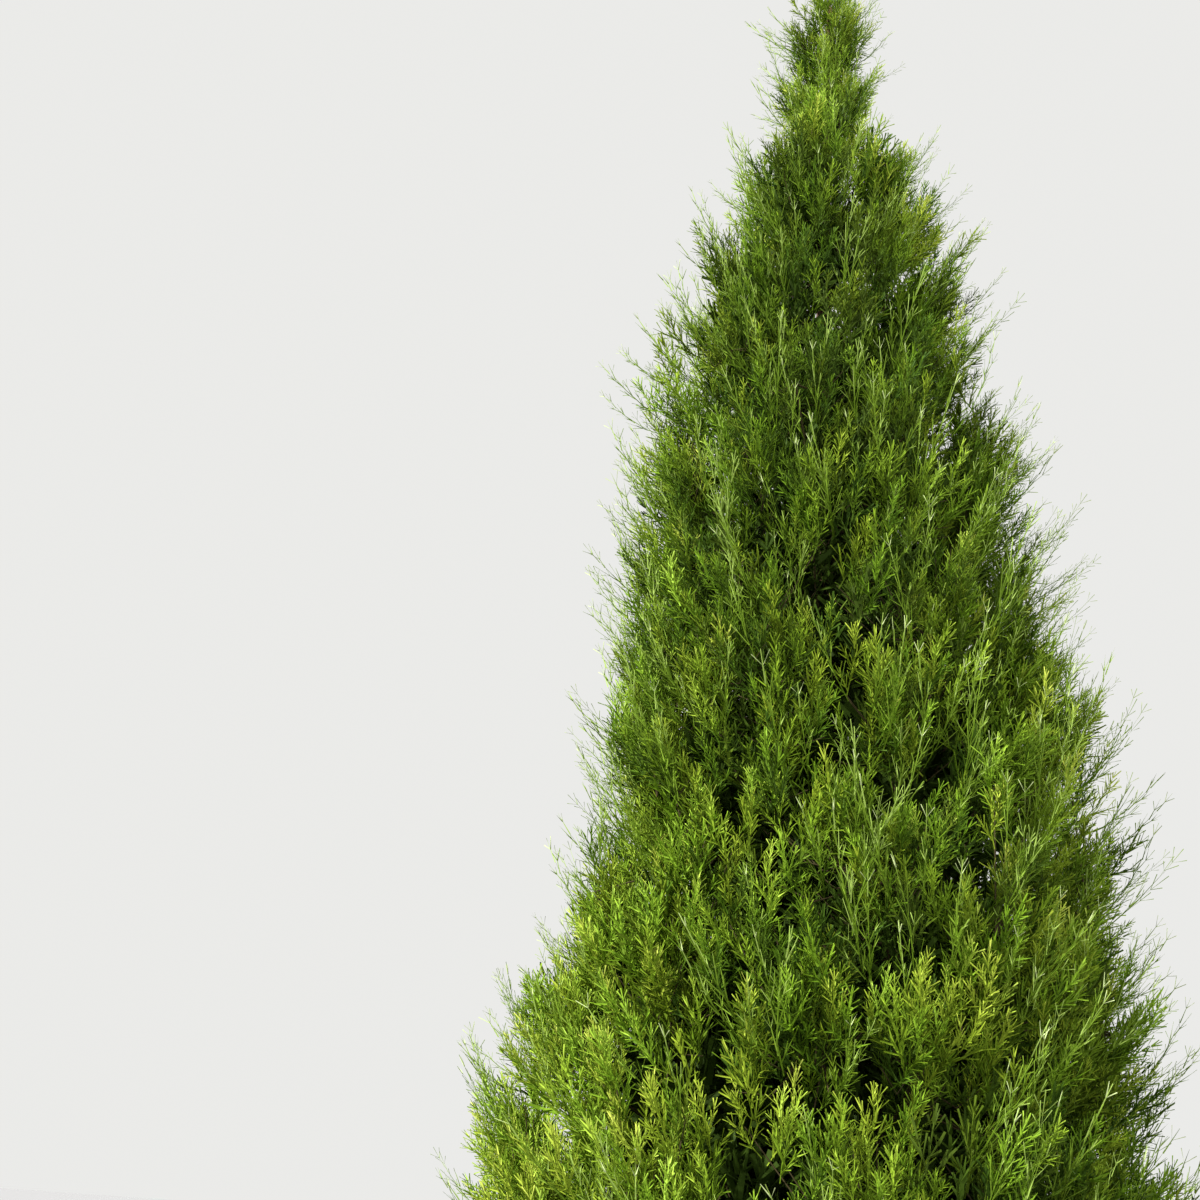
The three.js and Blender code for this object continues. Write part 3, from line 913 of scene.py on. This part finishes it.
def add_values(mesh, name, kind, values):
    attribute = mesh.attributes.new(name, kind, "POINT")
    field = "vector" if kind == "FLOAT_VECTOR" else "value"
    attribute.data.foreach_set(field, np.asarray(values).ravel())


# Twigs and sprays of a mass
def line_mesh(lines):
    """Lines of (point, thickness) as a mesh of edges."""
    points, edges, thickness = [], [], []
    for line in lines:
        first = len(points)
        points += [point for point, _ in line]
        thickness += [width for _, width in line]
        edges += [(first + k, first + k + 1) for k in range(len(line) - 1)]
    mesh = bpy.data.meshes.new("lines")
    mesh.from_pydata(points, edges, [])
    add_values(mesh, "thickness", "FLOAT", thickness)
    return mesh


def point_mesh(sprays):
    """Points that carry each spray's kind, turn, size and tone."""
    mesh = bpy.data.meshes.new("spray roots")
    mesh.from_pydata([spray.root for spray in sprays], [], [])
    add_values(mesh, "kind", "INT", [spray.kind for spray in sprays])
    add_values(mesh, "turn", "FLOAT_VECTOR", [tuple(spray.turn) for spray in sprays])
    add_values(mesh, "size", "FLOAT", [spray.size for spray in sprays])
    add_values(mesh, "tone", "INT", [spray.tone for spray in sprays])
    return mesh


def limb_line(path, start, end, steps):
    return [(curve_point(path, k / steps)[0], lerp(start, end, k / steps)) for k in range(steps + 1)]


def branchlet_line(path, thin):
    return limb_line(path, BRANCHLET_RADIUS * thin, BRANCHLET_TIP_RADIUS * thin, BRANCHLET_STEPS)


def skin_radius(space, point):
    """How far the dense crown reaches in a mass at a point's height and direction."""
    return space.vigour * outline_radius(point.z) + relief(azimuth_at(point), point.z)


def radius_at(point):
    return (point - trunk_centre(point.z)).to_2d().length


def fits(space, tip, slack):
    """Whether a spray's tip keeps to the crown's reach."""
    return radius_at(tip) < min(skin_radius(space, tip) + TIP_MARGIN + slack, FURTHEST_TIP)


def spray_at(space, random, root, azimuth, kind, size, tone, leaning=SPRAY_LEAN):
    """A spray that leaves its root towards an azimuth and leans out as it rises."""
    outward = outward_at(root)
    lean = UP + outward * between(random, leaning)
    lean += Vector((between(random, SPRAY_STRAY), between(random, SPRAY_STRAY), 0))
    turn = UP.rotation_difference(lean.normalized()) @ Quaternion(UP, azimuth)
    wisp = FULL_SHAPES <= kind < FULL_SHAPES + WISP_SHAPES
    deep = 0 <= kind - FULL_SHAPES - WISP_SHAPES < DEEP_SHAPES
    tip = Vector(WISP_TIP if wisp else SPRAY_TIP)
    for _ in range(FIT_TRIES):
        if fits(space, root + turn @ tip * size, WISP_SLACK if wisp else TIP_SLACK):
            break
        size *= FIT_SHRINK
    hue = int(random() * len(LEAF_HUES))
    tone = hue * len(LEAF_TONES) + min(max(round(tone), 0), HIGHEST_TONE)
    if wisp:
        tone = len(LEAF_HUES) * len(LEAF_TONES)
    elif deep:
        tone = len(leaf_materials) - 1
    return SimpleNamespace(root=root, kind=kind, turn=turn.to_euler(), size=size, tone=tone)


def nearest_start(point, twigs):
    """Where on the twigs a branchlet to a point leaves."""
    steps = range(FIRST_START, START_STEPS + 1)
    starts = (curve_point(twig, k / START_STEPS)[0] for twig in twigs for k in steps)
    return min(starts, key=lambda start: (point - start).length)


def grow_branchlet(space, random, path, size, mends=False):
    """Sprays round the end of a branchlet, and on some a pair of long wisps last. A branchlet that
    mends a gap has a few darker sprays and no wisps."""
    sprays = []
    azimuth = random() * math.tau
    end = path[2]
    place_on_skin = azimuth_at(end), end.z
    # A random tone for the branchlet, then painted shade in the crown's hollows and painted light and shade
    # by place
    shade = between(random, BRANCHLET_TONES) * end.z / HEIGHT
    shade += SHADE_IN_HOLLOWS * relief(*place_on_skin)
    shade += light_at(*place_on_skin)
    wisps = WISPS_TOGETHER if random() < lerp(*WISP_SHARE, end.z / HEIGHT) else 0
    bare = max(LEAST_BARE, 1 - OUTER_RUN * size / (end - path[0]).length)
    count = int(sprays_at(end.z) + random())
    if mends:
        wisps, count = 0, MEND_SPRAYS
        shade += MEND_TONE
    for k in range(count):
        along = (k + random()) / count
        root, _ = curve_point(path, lerp(bare, 1, along))
        azimuth += GOLDEN_TURN
        tone = MIDDLE_TONE + shade + TONES_ALONG * along + between(random, SPRAY_TONES)
        if k < count - wisps:
            kind = int(random() * FULL_SHAPES)
            scale = size * between(random, SPRAY_SIZE)
            sprays.append(spray_at(space, random, root, azimuth, kind, scale, tone))
        else:
            ahead = azimuth_at(root) + between(random, WISP_TURN)
            kind = FULL_SHAPES + int(random() * WISP_SHAPES)
            scale = size * between(random, WISP_SIZE)
            sprays.append(spray_at(space, random, root, ahead, kind, scale, tone, WISP_LEAN))
    return sprays


def light_at(azimuth, height):
    """Painted light and shade, in tones lighter or darker at a place: in patches, stronger towards the top.
    """
    waves = [math.sin(turns * azimuth + climb * height + start) for turns, climb, start in PATCH_WAVES]
    return swell(TONE_SHAPE, azimuth, height) + PATCH_TONES * math.prod(waves) * (height / HEIGHT) ** 2


def grow_inside(space, limbs, size):
    """Sprays along the limbs of a mass, darker as painted shade, wherever they lie deep enough under its
    surface: fine ones close under the outer sprays, then broader ones, the deeper the bigger and fewer."""
    random = seeded(space.seed + INNER_SPRAYS_SEED)
    sprays = []
    for limb in limbs:
        steps = max(1, round((limb[2] - limb[0]).length / INNER_SPACING))
        azimuth = random() * math.tau
        for k in range(steps):
            root, _ = curve_point(limb, (k + random()) / steps)
            depth = skin_radius(space, root) - radius_at(root) - INNER_DEPTH * size
            growth = lerp(*DEEP_GROWTH, min(max(depth / GROWTH_DEPTH, 0), 1))
            azimuth += GOLDEN_TURN
            if depth < 0 or random() > 1 / growth**2:
                continue
            kind = FULL_SHAPES + WISP_SHAPES
            if depth < UNDER_DEPTH:
                kind += DEEP_SHAPES + int(random() * UNDER_SHAPES)
                tone = between(random, UNDER_TONES) + light_at(azimuth_at(root), root.z)
                sprays.append(spray_at(space, random, root, azimuth, kind, size, tone))
            else:
                kind += int(random() * DEEP_SHAPES)
                sprays.append(spray_at(space, random, root, azimuth, kind, size * growth, 0, DEEP_LEAN))
    return sprays


def branchlet(start, end, size):
    """The path of a branchlet, which sags a little on its way."""
    return (start, start.lerp(end, BRANCHLET_BEND) - UP * BRANCHLET_SAG * size, end)


def birth_of(radius, height):
    """The birth height of the bough line through a radius and height."""
    return (height - LOW_STEEPNESS * arch(radius)) / (1 + STEEPNESS_GAIN * arch(radius))


def swell(places, azimuth, height):
    """The sum of soft bumps over the crown's skin at a direction and height."""
    total = 0
    for turn, level, wide, tall, rise in places:
        away = (azimuth - math.radians(turn) + math.pi) % math.tau - math.pi
        total += rise * math.exp(-((away / math.radians(wide)) ** 2) - ((height - level) / tall) ** 2)
    return total


def relief(azimuth, height):
    """How far the dense crown stands in (-) or out (+) at a place on its skin."""
    wave = 0
    for share, turns, climb, start in WAVES:
        wave += share * math.sin(turns * azimuth + climb * height + start)
    ribbed = min(max((height - RIBS_FROM) / RIBS_RISE, 0), 1)
    ribs = ribbed * RIB_RELIEF * math.sin(RIBS_ROUND * azimuth + RIBS_TWIST * height)
    return WAVE_RELIEF * wave + ribs + swell(CROWN_SHAPE, azimuth, height)


def size_at(height):
    """How big sprays are at a height: smaller towards the top."""
    return lerp(SPRAY_SMALL, 1, outline_radius(height) / CROWN_RADIUS)


def sprays_at(height):
    """How many sprays share a branchlet at a height: tufts are bigger towards the top."""
    return lerp(*OUTER_SPRAYS, (height / HEIGHT) ** 2)


def one_at(height):
    """How many sprays share a mended place: each is counted alone."""
    return 1


def skin_ends(count, first_turn, lowest, depths, tuft_at, seed):
    """Ends for branchlets, each with its mass's number and its own: evenly over the crown, each a golden
    turn from the last and as high as keeps the same share of its skin, counted in tufts, below it."""
    heights = [lerp(lowest, HIGHEST_END, k / LADDER_STEPS) for k in range(LADDER_STEPS + 1)]
    skin = [outline_radius(height) / size_at(height) ** 2 / tuft_at(height) for height in heights]
    below = np.cumsum(skin)
    shares = (below - below[0]) / (below[-1] - below[0])
    random = seeded(seed)
    for k in range(count):
        height = float(np.interp((k + 0.5) / count, shares, heights)) + END_STRAY * (2 * random() - 1)
        azimuth = first_turn + k * GOLDEN_TURN + END_STRAY * (2 * random() - 1)
        depth = between(random, depths) * size_at(height) - relief(azimuth, height)
        radius = max(LEAST_END_OUT * outline_radius(height), outline_radius(height) - depth)
        birth = birth_of(radius, height)
        tier = int((birth - FIRST_BIRTH) / (LAST_BIRTH - FIRST_BIRTH) * len(MASSES_ROUND))
        tier = min(max(tier, 0), len(MASSES_ROUND) - 1)
        around = MASSES_ROUND[tier]
        i = round((azimuth * around / math.pi - tier) / 2) % around
        end = trunk_centre(height) + spoke_at(azimuth) * radius
        yield f"{tier + 1}_{i + 1}", end, k


def grow_mass(space, ends):
    """The lines of a mass's limbs and its sprays."""
    random = seeded(space.seed + INNER_LIMBS_SEED)
    share = space.vigour * reach_of(space.birth) / CROWN_RADIUS
    thin = lerp(THINNEST, 1, share)
    size = lerp(SPRAY_SMALL, 1, share)
    stem = [stem_at(space, t) for t in (0, 0.5, 1)]
    if not space.carried:
        stem[0] = stem[0].lerp(trunk_centre(stem[0].z), BOUGH_DEPTH)
    twigs = twig_paths(space)
    lines = [limb_line(stem, STEM_RADIUS * thin, STEM_TIP_RADIUS * thin, LIMB_STEPS)]
    lines += [limb_line(path, TWIG_RADIUS * thin, TWIG_TIP_RADIUS * thin, LIMB_STEPS) for path in twigs]
    branchlets = [branchlet(nearest_start(end, twigs), end, size) for end, _ in ends]
    inner = []
    for i in range(round(lerp(*INNER_ENDS, share * share))):
        side, lift = (2 * ((0.5 + step * (i + 1)) % 1) - 1 for step in PLASTIC_STEP)
        end = place(space, between(random, INNER_OUT), side, lift)
        inner.append(branchlet(nearest_start(end, [stem, *twigs]), end, size))
    lines += [branchlet_line(path, thin) for path in branchlets + inner]
    sprays = grow_inside(space, [stem, *twigs, *branchlets[::2], *inner], size)
    for path, (_, k) in zip(branchlets, ends):
        sprays += grow_branchlet(space, seeded(SEED + BRANCHLET_SEED + k), path, size_at(path[2].z))
    return SimpleNamespace(space=space, thin=thin, twigs=twigs, lines=lines, sprays=sprays)


def middle_of(root, turn, size):
    """The middle of a full spray."""
    return root + turn @ Vector(SPRAY_TIP) * (size / 2)


def mend_gaps(grown):
    """Adds a branchlet with sprays wherever the skin of the crown lies too far from every outer spray."""
    sprays = [spray for mass in grown.values() for spray in mass.sprays if spray.kind < FULL_SHAPES]
    nearby = KDTree(len(sprays))
    for i, spray in enumerate(sprays):
        nearby.insert(middle_of(spray.root, spray.turn.to_quaternion(), spray.size), i)
    nearby.balance()
    mended = []
    places = skin_ends(MEND_TRIES, MEND_TURN, MEND_LOWEST, MEND_DEPTH, one_at, SEED + MENDS_SEED)
    for number, end, k in places:
        size = size_at(end.z)
        middle = middle_of(end, Quaternion(), size)
        gap = min([nearby.find(middle)[2]] + [(middle - other).length for other in mended])
        closer = 1 - MEND_SKIRT * max(1 - end.z / SKIRT_HEIGHT, 0)
        if gap < closer * lerp(*MEND_GAP, end.z / HEIGHT) * size or end.z > MEND_HIGHEST:
            continue
        mended.append(middle)
        mass = grown[number]
        path = branchlet(nearest_start(end, mass.twigs), end, size)
        mass.lines.append(branchlet_line(path, mass.thin))
        mass.sprays += grow_branchlet(mass.space, seeded(SEED + MENDED_SEED + k), path, size, mends=True)


def leader_parts():
    """The leader's own stem with wisps all round it, and sprays that hide the trunk's tip below."""
    random = seeded(SEED)
    foot = trunk_centre(TRUNK_TIP + GAP)
    top = trunk_centre(HEIGHT - LEADER_TOP)
    stem = (foot, foot.lerp(top, 0.5), top)
    space = SimpleNamespace(vigour=1)
    sprays = []
    for i in range(LEADER_WISPS):
        root = foot.lerp(top, i / (LEADER_WISPS - 1)) + OFF_THE_MIDDLE
        kind = FULL_SHAPES + i % WISP_SHAPES
        sprays.append(spray_at(space, random, root, i * GOLDEN_TURN, kind, LEADER_SIZE, 0))
    for i in range(LEADER_SPRAYS):
        azimuth = i * GOLDEN_TURN
        height = lerp(LEADER_FOOT, TRUNK_TIP, i / (LEADER_SPRAYS - 1))
        root = trunk_centre(height) + spoke_at(azimuth) * trunk_radius(height)
        tone = LEADER_TONE + between(random, SPRAY_TONES)
        sprays.append(spray_at(space, random, root, azimuth, i % FULL_SHAPES, LEADER_SIZE, tone))
    return [limb_line(stem, TRUNK_TIP_RADIUS, LEADER_TIP_RADIUS, LEADER_STEPS)], sprays


def dress(piece, node):
    """Sets a piece on the tree's one body, with its finish, in place of a solid."""
    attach(piece, "root")
    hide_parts(node)


def tube_mesh(name, rings):
    """A closed tube through rings of (centre, spokes, radii, distance along)."""
    sides = len(rings[0][1])
    points, outward, grain = [], [], []
    for centre, spokes, radii, along in rings:
        for spoke, radius in zip(spokes, radii):
            points.append(centre + spoke * radius)
            outward.append(spoke)
        for turn, radius in zip(turns_round(sides), radii):
            grain.append((radius * math.cos(turn), radius * math.sin(turn), along))
    faces = []
    for ring in range(len(rings) - 1):
        for k in range(sides):
            a = ring * sides + k
            b = ring * sides + (k + 1) % sides
            faces.append((a, b, b + sides, a + sides))
    faces.append(tuple(reversed(range(sides))))
    faces.append(tuple(range((len(rings) - 1) * sides, len(rings) * sides)))
    mesh = bpy.data.meshes.new(name)
    mesh.from_pydata(points, [], faces)
    add_values(mesh, "outward", "FLOAT_VECTOR", [tuple(v) for v in outward])
    add_values(mesh, "grain", "FLOAT_VECTOR", grain)
    return mesh


def trunk_mesh():
    """The trunk with its root flare, its rings closer together near the foot."""
    turns = turns_round(TRUNK_SIDES)
    spokes = [spoke_at(turn) for turn in turns]
    rings = []
    for ring in range(TRUNK_RINGS + 1):
        height = TRUNK_TIP * (ring / TRUNK_RINGS) ** RING_BUNCHING
        radii = [trunk_radius(height) + flare_radius(height, turn) for turn in turns]
        rings.append((trunk_centre(height), spokes, radii, height))
    return tube_mesh("trunk", rings)


def bough_mesh(space):
    """A main bough, from inside the trunk to where the stem of its mass goes on."""
    foot = place(space, 0, 0, STEM_LIFT)
    middle = place(space, BOUGH_OUT / 2, 0, STEM_LIFT)
    end = stem_at(space, 0)
    path = (foot.lerp(trunk_centre(foot.z), BOUGH_DEPTH), middle, end)
    rings = []
    for k in range(BOUGH_STEPS + 1):
        centre, along = curve_point(path, k / BOUGH_STEPS)
        side = along.cross(UP).normalized()
        lift = side.cross(along).normalized()
        spokes = [side * math.cos(turn) + lift * math.sin(turn) for turn in turns_round(BOUGH_SIDES)]
        radius = lerp(BOUGH_RADIUS, STEM_RADIUS, k / BOUGH_STEPS)
        rings.append((centre, spokes, [radius] * BOUGH_SIDES, (centre - path[0]).length))
    return tube_mesh("bough", rings)


library = spray_library()
grow_sprays = spray_tree()
grow_twigs = twig_tree()
raise_bark = relief_tree()

ends_of = {}
for number, end, k in skin_ends(BRANCHLETS, 0, LOWEST_END, END_DEPTH, sprays_at, SEED + ENDS_SEED):
    ends_of.setdefault(number, []).append((end, k))
grown = {space.number: grow_mass(space, ends_of[space.number]) for space in masses()}
mend_gaps(grown)
trunk = made_by(raise_bark, trunk_mesh(), "trunk_bark", ridge_height=TRUNK_RIDGES)
dress(trunk, "trunk")
for space in masses():
    if space.carried:
        name = f"bough_bark_{space.number}"
        bough = made_by(raise_bark, bough_mesh(space), name, ridge_height=BOUGH_RIDGES)
        dress(bough, f"bough_{space.number}")
    mass = grown[space.number]
    twigs = made_by(grow_twigs, line_mesh(mass.lines), f"twigs_{space.number}")
    dress(twigs, f"foliage_{space.number}")
    leaves = made_by(grow_sprays, point_mesh(mass.sprays), f"sprays_{space.number}", shapes=library)
    dress(leaves, f"foliage_{space.number}")

lines, sprays = leader_parts()
dress(made_by(grow_twigs, line_mesh(lines), "twigs_leader"), "foliage_leader")
leaves = made_by(grow_sprays, point_mesh(sprays), "sprays_leader", shapes=library)
dress(leaves, "foliage_leader")


# Stage
def add_floor():
    half = FLOOR_HALF
    corners = [(-half, -half, 0), (half, -half, 0), (half, half, 0), (-half, half, 0)]
    mesh = bpy.data.meshes.new("floor")
    mesh.from_pydata(corners, [], [(0, 1, 2, 3)])
    mesh.materials.append(plain_material("pale studio floor", FLOOR_COLOUR, FLOOR_ROUGHNESS))
    new_object("floor", mesh)


def add_lamp(name, position, strength, softness):
    """A warm white lamp, as even as daylight, that shines from a position at the middle of the crown."""
    light = bpy.data.lights.new(name, "SUN")
    light.energy = strength
    light.angle = math.radians(softness)
    light.color = LAMP_COLOUR
    lamp = new_object(name, light)
    lamp.location = position
    lamp.rotation_euler = (LAMP_AIM - lamp.location).to_track_quat("-Z", "Y").to_euler()


def add_world():
    world = bpy.data.worlds.new("studio")
    world.use_nodes = True
    background = world.node_tree.nodes["Background"]
    background.inputs["Color"].default_value = (*WORLD_COLOUR, 1)
    background.inputs["Strength"].default_value = WORLD_STRENGTH
    bpy.context.scene.world = world


def add_camera():
    data = bpy.data.cameras.new("camera")
    data.lens = CAMERA_LENS
    data.sensor_width = SENSOR_WIDTH
    data.clip_end = CAMERA_SEES
    camera = new_object("camera", data)
    camera.location = (0, -CAMERA_DISTANCE, CAMERA_HEIGHT)
    turn = Matrix.Rotation(CAMERA_YAW, 3, "Z") @ Matrix.Rotation(math.pi / 2 + CAMERA_PITCH, 3, "X")
    turn = turn @ Matrix.Rotation(CAMERA_ROLL, 3, "Z")
    camera.rotation_euler = turn.to_euler()
    bpy.context.scene.camera = camera


add_floor()
for lamp in LAMPS:
    add_lamp(*lamp)
add_world()
add_camera()
bpy.context.scene.view_settings.view_transform = "Standard"
